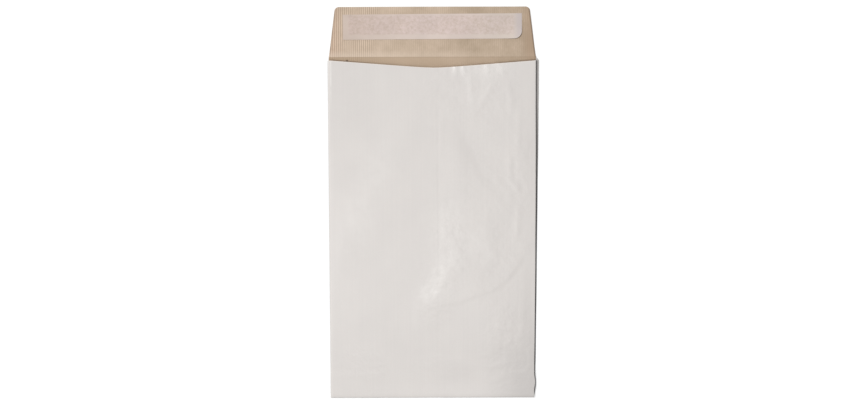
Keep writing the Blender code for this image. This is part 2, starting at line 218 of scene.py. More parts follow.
def plyHeights(path, right):
    seed = bagShape["gapSeeds"][right]
    opened = ease(path, footShape["seal"], footShape["openBy"])
    wedge = footShape["wedge"] * ease(path, 0, footShape["seal"])
    along = clamp(path / mouthPath)
    sideGap = mix(wedge, mix(bagShape["sideGapFoot"], bagShape["sideGapMouth"], along), opened)
    groove = mix(bagShape["groovePressed"], mix(bagShape["grooveFoot"], bagShape["grooveMouth"], along), opened)
    share, length = bagShape["sideGapWaver"]
    sideGap *= 1 + share * opened * waver(path, length, seed)
    share, length = bagShape["grooveWaver"]
    groove *= 1 + share * opened * waver(path, length, seed + 5)
    lower = layer * 1.5 + sideGap
    upper = lower + layer + groove
    # The front runs straight off the foot's fold while the plies under it follow the turned end
    footTop = stack + 2 * footShape["bendInside"] + layer * 3.5 + bagShape["groovePressed"]
    gaps = 2 * bagShape["sideGapMouth"] + bagShape["grooveMouth"]
    openTop = layer * 3.5 + gaps * mix(bagShape["openAtFoot"], 1, along)
    front = mix(footTop, openTop, ease(path, 0, footShape["openBy"])) - backLift(path)
    crown = mix(bagShape["crown"], bagShape["crownMouth"], ease(path, *bagShape["crownFalls"]))
    middle = mix(footTop, layer * 1.5 + crown, ease(path, 0, footShape["fullBy"])) - backLift(path)
    power = mix(bagShape["pillowFoot"], bagShape["pillowMouth"], ease(path, *bagShape["pillowTurns"]))
    return {"back": layer / 2, "lower": lower, "upper": upper, "front": max(front, upper + layer),
            "middle": middle, "power": power}


def frontHeight(x, heights):
    inward = halfFront - abs(x - centreX)
    pillow = 1 - (1 - clamp(inward / halfFront)) ** heights["power"]
    return mix(heights["front"], max(heights["front"], heights["middle"]), pillow)


def halfTurn(x, low, high, start, turn):
    radius = (high - low) / 2
    steps = meshSteps["fold"]
    angles = [start + turn * pi * step / steps for step in range(steps + 1)]
    return [(x + radius * cos(angle), (low + high) / 2 + radius * sin(angle)) for angle in angles]


# From the front's fold in to the pleat's inner fold and out round the back's fold
def pleatLine(path, right):
    heights = plyHeights(path, right)
    tips = foldTips(path)
    side = 1 if right else -1
    half = layer / 2
    backTip = side * tips["back"][right] - half
    frontTip = side * tips["front"][right] - half
    innerTip = (backTip + frontTip) / 2 + half - bagShape["gussetDepth"]
    amount, length = bagShape["gussetWaver"]
    innerTip += amount * waver(path, length, 31 + right)
    backX = backTip - (heights["lower"] - heights["back"]) / 2
    grooveX = innerTip + (heights["upper"] - heights["lower"]) / 2
    frontX = frontTip - (heights["front"] - heights["upper"]) / 2
    points = halfTurn(frontX, heights["upper"], heights["front"], pi / 2, -1)
    plyShares = stepShares("ply")[1:]
    points += [(mix(frontX, grooveX, share), heights["upper"]) for share in plyShares]
    points += halfTurn(grooveX, heights["lower"], heights["upper"], pi / 2, 1)
    lower = [(mix(grooveX, backX, share), heights["lower"]) for share in plyShares]
    flapStart = backTip + half - flapShape["insetRight"]
    for step, beside in ((-2, -flapShape["besideInset"]), (-1, flapShape["besideInset"])):
        lower[step] = (flapStart + beside, heights["lower"])
    points += lower
    points += halfTurn(backX, heights["back"], heights["lower"], pi / 2, -1)
    return [(side * x, height) for x, height in points], heights


def lapPressed(path):
    rises, risen, falls, fallen = lapShape["shows"]
    shown = ease(path, rises, risen) * (1 - ease(path, falls, fallen))
    return mix(lapShape["flattest"], lapShape["pressed"], shown)


# One row of the blank: from the lap's hidden edge round the whole bag to the lap's cut edge
def sectionLine(path):
    rightPleat, rightHeights = pleatLine(path, 1)
    leftPleat, leftHeights = pleatLine(path, 0)
    leftPleat = leftPleat[::-1]
    edge = centreX + lapShape["edge"]
    hidden = edge - lapShape["width"]
    slopeEnd = hidden - lapShape["slope"]
    pressed = lapPressed(path)
    offset = bagShape["sheet"] * pressed / 2 + lapShape["glue"]  # either ply of the lap to the panel's middle
    line = [mix(hidden, edge, share) for share in stepShares("lap")]
    line += [mix(edge, rightPleat[0][0], share) for share in stepShares("rightPanel")]
    offsets = [offset * (1 - ease(x, edge, edge + lapShape["slope"])) for x in line]
    line = [(x, frontHeight(x, rightHeights) - under, "front") for x, under in zip(line, offsets)]
    line += [(x, height, "pleat") for x, height in rightPleat]
    backX = [mix(rightPleat[-1][0], leftPleat[0][0], share) for share in stepShares("back")[1:]]
    line += [(x, layer / 2, "back") for x in backX]
    line += [(x, height, "pleat") for x, height in leftPleat]
    leftX = [mix(leftPleat[-1][0], slopeEnd, share) for share in stepShares("leftPanel", 1)]
    line += [(x, frontHeight(x, leftHeights), "front") for x in leftX]
    for share in stepShares("slope", 1):
        x = mix(slopeEnd, hidden, share)
        line.append((x, frontHeight(x, leftHeights) + offset * ease(share, 0, 1), "front"))
    for share in stepShares("lap", 1):
        x = mix(hidden, edge, share)
        thinned = (pressed - lapShape["thinEdge"]) * bagShape["sheet"] / 2 if share == 1 else 0
        line.append((x, frontHeight(x, rightHeights) + offset - thinned, "front"))
    return line


# The share of its thickness that the sheet keeps, point by point along one row
def thicknessShares(path):
    shares = numpy.ones(columns)
    pressed = lapPressed(path)
    edge = centreX + lapShape["edge"]
    lapStart = columns - meshSteps["lap"] - 1
    slopeStart = lapStart - meshSteps["slope"]
    for index, (x, height, part) in enumerate(section):
        if index < columns // 2:
            shares[index] = mix(pressed, 1, ease(x, edge, edge + lapShape["slope"]))
        elif index >= slopeStart:
            shares[index] = mix(1, pressed, ease(index, slopeStart, lapStart))
    shares[columns - 1] = lapShape["thinEdge"]
    return numpy.round(shares, 2)


def mouthPathAt(x):  # the mouth is cut in a shallow V with a rounded tip
    rounding = mouthShape["rounding"]
    away = abs(x - centreX - mouthShape["tipX"]) / halfFront
    share = clamp(1 - (sqrt(away**2 + rounding**2) - rounding) / (sqrt(1 + rounding**2) - rounding))
    return mouthPath - (mouthShape["dropTip"] - mouthShape["dropSide"]) * share


# Dents, swells and creases of the front, in millimetres on the panel

# x, y, long radius, short radius above and below, angle of the long one, height
frontSwells = [
    (12, -96, 34, 11, 46, 64, 1.25),
    (-24, -104, 46, 13, 15, 58, -0.4),
    (-36, 10, 60, 16, 16, 68, -0.3),
    (44, -58, 42, 30, 30, 80, 0.8),
    (27, 60, 36, 14, 14, 94, 0.95),
    (101, 60, 40, 17, 17, 90, 0.4),
    (8, 134, 6, 6, 6, 0, -0.3),
    (18, 127, 7, 5, 5, 0, -0.3),
    (82, -40, 26, 16, 16, 90, -0.4),
    (-98, -36, 70, 18, 15, 66, 0.4),
    (-30, -36, 50, 14, 14, 64, 0.35),
    (29, 128, 9, 8, 8, 0, -0.25),
    (45, 72, 60, 14, 14, -48, -0.45),
    (62, -146, 60, 46, 40, 50, 1.9),
]
# points, height, half width, which side it falls away to (0 for a plain ridge), fades at its ends
frontCreases = [
    ([(-12, -120), (27, -114), (48, -105), (71, -98), (85, -87), (99, -69), (104, -58)],
     0.42, 2.5, -1, 0.6, 0.06),
    ([(22, -66), (14, -80), (9, -98), (-3, -116)], 0.2, 4.0, 0, 0.3, 0.3),
    ([(42, 161), (44, 135), (46, 102)], 0.36, 3.8, 0, 0.05, 0.4),
    ([(70, 142), (58, 122), (46, 102)], 0.42, 4.2, 0, 0.2, 0.2),
    ([(25, 161), (27, 144)], 0.55, 2.3, 0, 0.05, 0.5),
    ([(35, 161), (36, 145)], 0.55, 2.2, 0, 0.05, 0.5),
    ([(62, 163), (63, 147)], 0.6, 2.3, 0, 0.05, 0.5),
    ([(74, 164), (83, 148)], 0.55, 2.8, 0, 0.05, 0.5),
    ([(84, 144), (91, 122), (92, 100)], 0.32, 3.6, 0, 0.2, 0.3),
    ([(98, 118), (99, 90), (98, 56)], 0.3, 3.2, 0, 0.2, 0.3),
    ([(8, 108), (9, 74), (5, 44)], 0.16, 3.0, 0),
    ([(28, 100), (40, 68), (57, 38), (73, 18), (87, 0)], -0.3, 5.4, 0, 0.3, 0.2),
    ([(88, 60), (88, 44), (91, 28)], 0.34, 3.0, 0, 0.2, 0.2),
    ([(94, 52), (94, 38), (96, 26)], -0.3, 2.6, 0, 0.2, 0.2),
    ([(84, 34), (92, 24), (104, 12)], 0.3, 2.8, 0, 0.2, 0.2),
    ([(92, 6), (108, 26)], -0.25, 2.6, 0, 0.2, 0.2),
    ([(99, 2), (98, -22), (96, -46)], 0.34, 3.4, 0, 0.2, 0.3),
    ([(26, -78), (33, -73), (44, -66)], 0.24, 2.6, -1, 0.2, 0.2),
    ([(56, -74), (66, -70), (78, -66)], 0.2, 2.6, -1, 0.2, 0.2),
    ([(20, -60), (60, -52), (88, -68)], 0.14, 3.0, 0),
    ([(72, -140), (82, -146), (94, -148)], 0.3, 3.0, 0, 0.2, 0.2),
    ([(56, -188), (68, -192), (84, -186)], 0.2, 3.2, 0, 0.2, 0.2),
    ([(86, -194), (98, -200), (112, -196)], 0.26, 3.0, 0, 0.2, 0.2),
    ([(-104, 40), (-96, -10), (-84, -60)], 0.12, 5.0, 0),
]
# Painted highlights, where the raised laminate catches the light: points, strength, half width, 0, fades
paintedHighlights = [
    ([(15, -58), (8, -76), (-2, -93), (-13, -109), (-24, -124)], 0.38, 9.0, 0, 0.3, 0.3),
    ([(34, -86), (12, -94), (-6, -102), (-20, -112)], 0.3, 13.0, 0, 0.6, 0.3),
    ([(-20, -112), (-22, -130), (-22, -150)], 0.2, 5.0, 0, 0.3, 0.5),
    ([(10, 40), (18, -20), (19, -56), (12, -88)], 0.34, 18.0, 0, 0.5, 0.2),
    ([(-104, -70), (-80, 0), (-52, 70), (-42, 110)], 0.26, 19.0, 0, 0.3, 0.4),
    ([(24, 161), (26, 148)], 0.4, 2.8, 0, 0.02, 0.5),
    ([(33, 161), (35, 148)], 0.36, 2.6, 0, 0.02, 0.5),
    ([(65, 163), (64, 150)], 0.3, 2.8, 0, 0.02, 0.5),
    ([(76, 164), (83, 152)], 0.2, 3.2, 0, 0.02, 0.5),
    ([(14, 162), (60, 158), (104, 164)], 0.34, 12.0, 0, 0.3, 0.3),
    ([(40, 152), (43, 132), (46, 108)], 0.18, 4.8, 0, 0.2, 0.3),
    ([(64, 150), (58, 136), (50, 120)], 0.2, 4.0, 0, 0.3, 0.3),
    ([(40, -24), (62, -60), (66, -76)], 0.25, 14.0, 0, 0.3, 0.3),
]
# x, y, radius across, radius along, strength
crumpledPatches = [
    (45, 130, 62, 46, 0.7),
    (17, -44, 22, 50, 1.35),
    (60, 158, 44, 12, 1.0),
    (100, 40, 20, 90, 0.5),
    (96, 26, 20, 26, 0.6),
    (2, -94, 26, 46, 1.1),
    (60, -20, 60, 120, 0.5),
    (88, -168, 34, 64, 0.7),
    (10, -190, 40, 14, 0.35),
    (-82, -186, 34, 20, 0.6),
    (-92, -48, 20, 24, 0.5),
]
reliefShape = {  # in millimetres
    "creaseFades": (0.35, 0.25),  # where a crease gives none, as shares of its length
    "gentleReach": 6,  # how many half widths a one-sided crease falls over
    "crumpledAtLeast": 0.06,
    "calmAcross": (1, 14),  # how the relief fades in from the side folds and from the foot
    "calmAlong": (4, 40),
    "crumpleAcross": (0, 6),
    "crumpleAlong": (8, 30),
    "besideFold": 26,  # this near a side fold nothing sinks deeper than the next value
    "deepestBeside": -0.06,
}
crumpleKinds = (  # size across, size along, place in the noise, height, which noise, its settings
    (15, 19, 0.4, 0.26, noise.fractal, (0.9, 2.1, 3)),
    (34, 40, 2.4, 0.08, noise.ridged_multi_fractal, (1.0, 2.0, 2, 0.9, 1.8)),
    (7, 8, 5.1, 0.10, noise.fractal, (0.8, 2.0, 2)),
)


def swellHeights(x, y, swells):
    total = numpy.zeros_like(x)
    for placeX, placeY, longRadius, above, below, angle, height in swells:
        turn = radians(angle)
        along = (x - placeX) * cos(turn) + (y - placeY) * sin(turn)
        across = (y - placeY) * cos(turn) - (x - placeX) * sin(turn)
        across /= numpy.where(across > 0, above, below)
        total += height * numpy.exp(-((along / longRadius) ** 2) - across**2)
    return total


def creaseHeights(x, y, creases):
    total = numpy.zeros_like(x)
    for points, height, halfWidth, falls, *fades in creases:
        fadeIn, fadeOut = fades or reliefShape["creaseFades"]
        nearest = numpy.full_like(x, 1e9)
        side = numpy.zeros_like(x)
        place = numpy.zeros_like(x)
        run = 0.0
        for (ax, ay), (bx, by) in zip(points, points[1:]):
            length = hypot(bx - ax, by - ay)
            dx, dy = (bx - ax) / length, (by - ay) / length
            along = numpy.clip((x - ax) * dx + (y - ay) * dy, 0, length)
            offX, offY = x - ax - along * dx, y - ay - along * dy
            away = numpy.hypot(offX, offY)
            closer = away < nearest
            nearest = numpy.where(closer, away, nearest)
            side = numpy.where(closer, numpy.sign(dx * offY - dy * offX), side)
            place = numpy.where(closer, run + along, place)
            run += length
        share = place / run
        fade = softStep(share, 0, fadeIn) * (1 - softStep(share, 1 - fadeOut, 1))
        profile = numpy.exp(-((nearest / halfWidth) ** 2))
        if falls:
            gentle = numpy.exp(-((nearest / (halfWidth * reliefShape["gentleReach"])) ** 2))
            profile = numpy.where(side == falls, profile, gentle)
        total += height * fade * profile
    return total


def crumpleShare(x, y):
    share = numpy.full_like(x, reliefShape["crumpledAtLeast"])
    for placeX, placeY, radiusX, radiusY, strength in crumpledPatches:
        reach = ((x - placeX) / radiusX) ** 2 + ((y - placeY) / radiusY) ** 2
        share = numpy.maximum(share, strength * numpy.exp(-(reach**2)))
    return share


def crumpleHeights(x, y, share):
    total = numpy.zeros_like(x)
    for across, along, depth, height, kind, settings in crumpleKinds:
        heights = [kind(Vector((a / across, b / along, depth)), *settings) for a, b in zip(x, y)]
        total += height * numpy.array(heights)
    return share * total


# The blank, folded

pleatShade = {
    "full": 0.0012,
    "none": 0.0040,
    "turnedAway": (0.3, 0.02, 0.034),  # the bulge above the foot turns its side away: how far, from, to
    "litLip": (0.2, 0.5),  # the lower half of the outer fold catches the light again
    "footStarts": 0.005,
    "pastMouth": (0.8, 0.002),
}
mouthShade = {"full": 0.0004, "none": 0.0022, "atSide": 0.75, "atMiddle": 0.25, "across": (0.3, 0.9)}
foldRub = {"share": 0.12, "sharpness": 0.02}


def blankRows():
    rows = [("turned", mix(footShape["turn"], 0, share)) for share in stepShares("turned")]
    rows += [("bend", pi * (1 - share)) for share in stepShares("bend")]
    last = mouthPath - mouthShape["reach"]
    rows += [("bag", last * share) for share in stepShares("body")]
    rows += [("mouth", share) for share in stepShares("mouth")]
    rows += [("mouth", 1 - mouthShape["rim"] / mouthShape["reach"]), ("mouth", 1)]
    throatEnd, flapStart = creaseY - flapShape["creaseBeside"], creaseY + flapShape["creaseBeside"]
    rows += [("flap", mix(bendY + mouthPath, throatEnd, share)) for share in stepShares("throat", 1)]
    rows += [("flap", creaseY), ("flap", flapStart)]
    cornerY = tipY - flapShape["corner"]
    leaning = [share ** flapShape["rowsLean"] for share in stepShares("flap", 1)]
    rows += [("flap", mix(flapStart, cornerY, share)) for share in leaning]
    rows += [("flap", cornerY + flapShape["corner"] * sin(pi / 2 * share)) for share in stepShares("corner", 1)]
    return rows


def flapEdges(y):
    left, right = foldTips(mouthPath)["back"]
    if y < creaseY:  # the notch runs obliquely from the fold to the crease
        share = (y - bendY - mouthPath) / mouthShape["dropSide"]
        insets = [mix(layer * 2, flapShape[name], share) for name in ("insetLeft", "insetRight")]
        return left + insets[0], right - insets[1]
    inset = flapShape["taper"] * clamp((y - creaseY) / bagShape["flapLength"])
    past = y - (tipY - flapShape["corner"])
    if past > 0:
        inset += flapShape["corner"] - sqrt(max(0, flapShape["corner"] ** 2 - past**2))
    return left + flapShape["insetLeft"] + inset, right - flapShape["insetRight"] - inset


# How far the opened flap and throat stand off the table
def flapLift(x, y):
    past = y - creaseY
    across = (x - centreX) / halfFront
    if past < 0:
        ridge = flapShape["ridge"] * clamp(1 + past / flapShape["ridgeRise"])
        arch = 0
    else:
        ridge = flapShape["ridge"] * exp(-past / flapShape["ridgeFall"])
        arch = flapShape["arch"] * (1 - across**2) * ease(past, 0, flapShape["archBy"])
    wave = flapShape["wave"] * (1 + waver(x, flapShape["waveLength"], 41))
    wave *= ease(abs(past), *flapShape["waveFrom"])
    curl = ease(abs(across), *flapShape["curlAcross"]) * ease(past, *flapShape["curlAlong"])
    return ridge + arch + wave + flapShape["edgeCurl"] * curl


def turnedRow(value):  # the foot's end, laid over onto the back
    low = bendZ - footShape["bendInside"]
    drift = footShape["skew"] * value / footShape["turn"]
    return [(x + drift, bendY + value, low - height) for x, height, part in sectionLine(0)], -value - pi * bendZ


def bendRow(value):
    places = []
    for x, height, part in sectionLine(0):
        reach = footShape["bendInside"] + height
        places.append((x, bendY - reach * sin(value), bendZ + reach * cos(value)))
    return places, -value * bendZ


def bagRow(value):
    return [(x, bendY + value, backLift(value) + height) for x, height, part in sectionLine(value)], value


def mouthRow(value):
    tipRight = foldTips(mouthPath)["back"][1]
    lowerPly = plyHeights(mouthPath, 1)["lower"] + layer
    start = mouthPath - mouthShape["reach"]
    places, along = [], []
    for x, height, part in sectionLine(mix(start, mouthPath, value)):
        end = mouthPath if part == "back" else mouthPathAt(x)
        beyond = tipRight - x
        if part == "pleat" and x > 0 and beyond < flapShape["insetRight"] and height < lowerPly:
            # The pleat's corner is oblique
            end += mouthShape["dropSide"] * clamp(beyond / flapShape["insetRight"])
        path = mix(start, end, value)
        height -= mouthShape["pressed"] if value == 1 and part == "front" else 0
        throat = flapLift(x, bendY + path) if part == "back" else 0
        places.append((x, bendY + path, height + throat))
        along.append(path)
    return places, along


def flapRow(value):
    left, right = flapEdges(value)
    places = []
    for index in range(columns):
        x = mix(right, left, clamp((index - backFirst) / (backLast - backFirst)))
        places.append((x, value, layer / 2 + flapLift(x, value)))
    return places, value - bendY


def foldBlank(rows):
    makers = {"turned": turnedRow, "bend": bendRow, "bag": bagRow, "mouth": mouthRow, "flap": flapRow}
    places, along = [], []
    for kind, value in rows:
        placed, run = makers[kind](value)
        places += placed
        along += run if isinstance(run, list) else [run] * columns
    return numpy.array(places), numpy.array(along)


def pathOf(kind, value):  # how far along the bag a row's section is taken
    return {"bag": value, "mouth": mouthPath}.get(kind, 0)


# How deep in the shade of the side pleats each point lies: 1 in the groove, 0 at the back's outer lip
def pleatShades(rows, places):
    shades = []
    least, turnsFrom, turnsTo = pleatShade["turnedAway"]
    mouthShare, mouthReach = pleatShade["pastMouth"]
    for kind, value in rows:
        path = pathOf(kind, value)
        tips = foldTips(path)["front"]
        heights = plyHeights(path, 1)
        lip = [mix(heights["back"], heights["lower"], share) for share in pleatShade["litLip"]]
        for x, height, part in sectionLine(path):
            outward = (x - tips[1]) if x > centreX else (tips[0] - x)
            under = 1 - ease(height, heights["upper"], heights["front"])
            under = under ** mix(least, 1, ease(path, turnsFrom, turnsTo))
            shade = under * (1 - ease(outward, pleatShade["full"], pleatShade["none"])) * ease(height, *lip)
            past = places[len(shades)][1] - bendY - mouthPath
            shade *= ease(path, 0, pleatShade["footStarts"]) * (1 - mouthShare * ease(past, 0, mouthReach))
            shades.append(shade if part == "pleat" and kind != "flap" and height > layer else 0)
    return shades


# The throat is darkest along the mouth's edge, most of all at its two ends
def mouthShades(places, partOf):
    shades = []
    for (x, y, height), part in zip(places, partOf):
        past = y - bendY - mouthPathAt(x)
        side = ease(abs(x - centreX) / halfFront, *mouthShade["across"])
        shade = mix(mouthShade["atMiddle"], mouthShade["atSide"], side)
        shade *= 1 - ease(past, mouthShade["full"], mouthShade["none"])
        shades.append(shade if part == "back" else 0)
    return shades


def applyModifier(piece, kind, **settings):
    bpy.ops.object.select_all(action="DESELECT")
    piece.select_set(True)
    bpy.context.view_layer.objects.active = piece
    modifier = piece.modifiers.new(kind.lower(), kind)
    for name, value in settings.items():
        setattr(modifier, name, value)
    bpy.ops.object.modifier_apply(modifier=modifier.name)


section = sectionLine(mouthPath)
columns = len(section)
parts = [part for x, height, part in section]
backFirst = parts.index("back") - 1
backLast = columns - parts[::-1].index("back")
rows = blankRows()

bpy.ops.object.select_all(action="DESELECT")
bpy.ops.mesh.primitive_grid_add(x_subdivisions=columns - 1, y_subdivisions=len(rows) - 1, size=0.4)
bag = bpy.context.object
bag.name = bag.data.name = "mailingBag"
print("blank", columns, "by", len(rows), "points", len(bag.data.vertices))

places, along = foldBlank(rows)
rowKinds = numpy.repeat([kind for kind, value in rows], columns)
partOf = numpy.tile(parts, len(rows))
onFront = (partOf == "front") & numpy.isin(rowKinds, ("bag", "mouth"))
x, y = places[:, 0] * 1000, places[:, 1] * 1000

# The front's relief fades out at its folds and where the foot is pressed
inward = halfFront * 1000 - numpy.abs(x - centreX * 1000)
calm = softStep(inward, *reliefShape["calmAcross"]) * softStep(along * 1000, *reliefShape["calmAlong"])
crumple = crumpleShare(x, y) * softStep(inward, *reliefShape["crumpleAcross"])
relief = numpy.zeros(len(x))
front = numpy.flatnonzero(onFront)
frontX, frontY = x[front], y[front]
relief[front] = swellHeights(frontX, frontY, frontSwells) + creaseHeights(frontX, frontY, frontCreases)
relief[front] *= calm[front]
crumpleFades = softStep(along[front] * 1000, *reliefShape["crumpleAlong"])
relief[front] += crumpleHeights(frontX, frontY, crumple[front]) * crumpleFades
shallow = numpy.maximum(relief, reliefShape["deepestBeside"])
relief = numpy.where(inward < reliefShape["besideFold"], shallow, relief)
places[:, 2] += relief / 1000
bag.data.vertices.foreach_set("co", places.astype(numpy.float32).ravel())

# The sheet's own measure across, for the ribs, and how near each point is to a fold
rowPlaces = numpy.array([(x, height) for x, height, part in section])
acrossSteps = numpy.hypot(*(rowPlaces[1:] - rowPlaces[:-1]).T)
across = numpy.tile(numpy.concatenate([[0], numpy.cumsum(acrossSteps)]), len(rows))
onFlap = rowKinds == "flap"  # its sides slant, its ribs run straight on
across[onFlap] = across[backFirst] + rowPlaces[backFirst][0] - places[onFlap, 0]
foldShare = numpy.zeros(columns)
for index in range(1, columns - 1):
    before, after = rowPlaces[index] - rowPlaces[index - 1], rowPlaces[index + 1] - rowPlaces[index]
    bend = 1 - (before @ after) / (numpy.linalg.norm(before) * numpy.linalg.norm(after))
    foldShare[index] = foldRub["share"] if bend > foldRub["sharpness"] else 0
foldWearAndHighlights = numpy.tile(foldShare, len(rows)) * ~onFlap
# Painted highlights along raised creases and ridges are added to the fold wear
foldWearAndHighlights[front] += creaseHeights(frontX, frontY, paintedHighlights)
for name, values in {
    "foldWearAndHighlights": numpy.minimum(foldWearAndHighlights, 1),
    "crumple": crumple * onFront,
    "plyShare": numpy.concatenate([thicknessShares(pathOf(kind, value)) for kind, value in rows]),
    "pleatShade": pleatShades(rows, places),
    "mouthShade": mouthShades(places, partOf),
    "mouthRim": onFront & numpy.repeat([row == ("mouth", 1) for row in rows], columns),
}.items():
    attribute = bag.data.attributes.new(name, "FLOAT", "POINT")
    attribute.data.foreach_set("value", numpy.asarray(values, numpy.float32))
sheetMap = bag.data.uv_layers.active
sheetMap.name = "sheetMap"
corners = numpy.empty(len(bag.data.loops), numpy.int32)
bag.data.loops.foreach_get("vertex_index", corners)
sheetPlaces = numpy.stack([across[corners], along[corners]], 1)
sheetMap.data.foreach_set("uv", sheetPlaces.astype(numpy.float32).ravel())

# Past the mouth only the back panel runs on, as the flap
bpy.ops.object.mode_set(mode="EDIT")
bpy.ops.mesh.select_all(action="DESELECT")
editMesh = bmesh.from_edit_mesh(bag.data)
editMesh.verts.ensure_lookup_table()
firstFlapRow = [kind for kind, value in rows].index("flap")
for face in editMesh.faces:
    indices = [vertex.index for vertex in face.verts]
    column = [index % columns for index in indices]
    if max(index // columns for index in indices) >= firstFlapRow:
        face.select_set(min(column) < backFirst or max(column) > backLast)
bmesh.update_edit_mesh(bag.data)
bpy.ops.mesh.delete(type="FACE")
bpy.ops.object.mode_set(mode="OBJECT")
print("folded", len(bag.data.polygons), "faces")


# Each new node goes into the material or world that useNodes was given last

def useNodes(owner):
    global nodeTree
    owner.use_nodes = True
    nodeTree = owner.node_tree
    return owner


def newMaterial(name):
    return useNodes(bpy.data.materials.new(name))


def addNode(kind, inputs=None, **settings):
    node = nodeTree.nodes.new("ShaderNode" + kind)
    for name, value in settings.items():
        setattr(node, name, value)
    for name, value in (inputs or {}).items():
        if isinstance(value, bpy.types.NodeSocket):
            nodeTree.links.new(value, node.inputs[name])
        else:
            node.inputs[name].default_value = value
    return node


def objectPlace():
    return addNode("TexCoord").outputs["Object"]


def sheetPlace():  # the blank's own measures, across and along
    return addNode("UVMap", uv_map="sheetMap").outputs["UV"]


def axesOf(vector):
    return addNode("SeparateXYZ", {"Vector": vector}).outputs


def painted(name):  # a value that the mesh carries, point by point
    return addNode("Attribute", attribute_name=name).outputs["Fac"]


def stretched(coordinate, scale):
    return addNode("Mapping", {"Vector": coordinate, "Scale": scale}).outputs["Vector"]


def noiseOf(coordinate, scale, detail=2.0, roughness=0.5):
    settings = {"Vector": coordinate, "Scale": scale, "Detail": detail, "Roughness": roughness}
    return addNode("TexNoise", settings).outputs["Fac"]


def calc(operation, first, second=0.0, third=0.0):
    return addNode("Math", {0: first, 1: second, 2: third}, operation=operation).outputs[0]


def times(first, second):
    return calc("MULTIPLY", first, second)


def timesPlus(first, second, third):
    return calc("MULTIPLY_ADD", first, second, third)


def awayFrom(value, middle):
    return calc("ABSOLUTE", calc("SUBTRACT", value, middle))


def distanceFrom(place, point, squash):
    apart = addNode("VectorMath", {0: place, 1: point}, operation="SUBTRACT").outputs[0]
    apart = addNode("VectorMath", {0: apart, 1: squash}, operation="MULTIPLY").outputs[0]
    return addNode("VectorMath", {0: apart}, operation="LENGTH").outputs["Value"]


def remap(value, fromLow, fromHigh, toLow, toHigh, smooth=False):
    kind = "SMOOTHSTEP" if smooth else "LINEAR"
    inputs = {"Value": value, "From Min": fromLow, "From Max": fromHigh, "To Min": toLow, "To Max": toHigh}
    return addNode("MapRange", inputs, interpolation_type=kind).outputs["Result"]


def blendColour(share, first, second, mode="MIX"):
    node = addNode("Mix", data_type="RGBA", blend_type=mode)
    for socket, value in ((node.inputs[0], share), (node.inputs[6], first), (node.inputs[7], second)):
        if isinstance(value, bpy.types.NodeSocket):
            nodeTree.links.new(value, socket)
        else:
            socket.default_value = (*value, 1) if isinstance(value, tuple) else value
    return node.outputs[2]


def paintOver(colour, *coats):
    for share, coat in coats:
        colour = blendColour(share, colour, coat)
    return colour


def toned(look, pattern):
    return blendColour(remap(pattern, 0.35, 0.65, 0, 1), look["dark"], look["light"])


def bumpOf(height, distance, under=None):
    inputs = {"Height": height, "Distance": distance}
    if under:
        inputs["Normal"] = under
    return addNode("Bump", inputs).outputs["Normal"]


def finishShader(look, pattern, colour, normal):
    shader = nodeTree.nodes["Principled BSDF"]
    roughness = remap(pattern, 0.3, 0.7, *look["roughness"])
    for name, value in (("Base Color", colour), ("Roughness", roughness), ("Normal", normal)):
        nodeTree.links.new(value, shader.inputs[name])
    shader.inputs["Specular IOR Level"].default_value = look.get("specular", 0.5)


# White laminate, outside. What fades along or across is given as from, to, share before, share after.

laminateLook = {
    "light": (0.700, 0.664, 0.636),
    "dark": (0.668, 0.634, 0.610),
    # paler wear at the folds, and painted highlights
    "wornAndLit": (0.805, 0.775, 0.745),
    # painted shade for the side pleats' grooves
    "groove": (0.035, 0.031, 0.030),
    "pleatShadeShare": 0.98,
    "mouthRim": (0.80, 0.70, 0.62),
    "mouthRimShare": 0.8,
    # painted shade, for two corners of the panel and along the lap's cut edge
    "paintedShade": (0.555, 0.527, 0.508),
    "cloudScale": 26.0,
    "grainScale": 620.0,
    "streakScale": (420.0, 7.0, 1.0),
    "toneShares": (0.5, 0.2, 0.3),  # of clouds, grain and streaks
    "shadeSpots": ((0.120, -0.238, 0.080, 1.0), (-0.130, 0.180, 0.110, 0.26)),  # x, y, reach, strength
    "spotSquash": (1, 0.55, 1),
    "spotWaver": 0.016,
    "lapShade": 0.13,
    "lapShadeOff": 0.0006,
    "lapShadeWidth": (0.0003, 0.0018),
    "lapShadeScale": 60.0,
    "lapShadePatches": (0.35, 0.6, 0.3, 1.0),
    "lapShadeFades": ((0.08, 0.12, 1.0, 0.3), (-0.09, 0.0, 0.2, 1.0)),
    "highlightLine": -0.1184,  # x
    "highlightLineWidth": (0.0002, 0.0013),
    "highlightLineFade": (0.09, 0.15, 0.0, 0.7),
    "wearAndLightScale": 90.0,
    "wearAndLightPatches": (0.3, 0.6, 0.2, 0.9),
    "facetScale": 150.0,
    "bumps": (0.00004, 0.000035, 0.00065),  # of grain, streaks and facets
    "roughness": (0.28, 0.33),
}


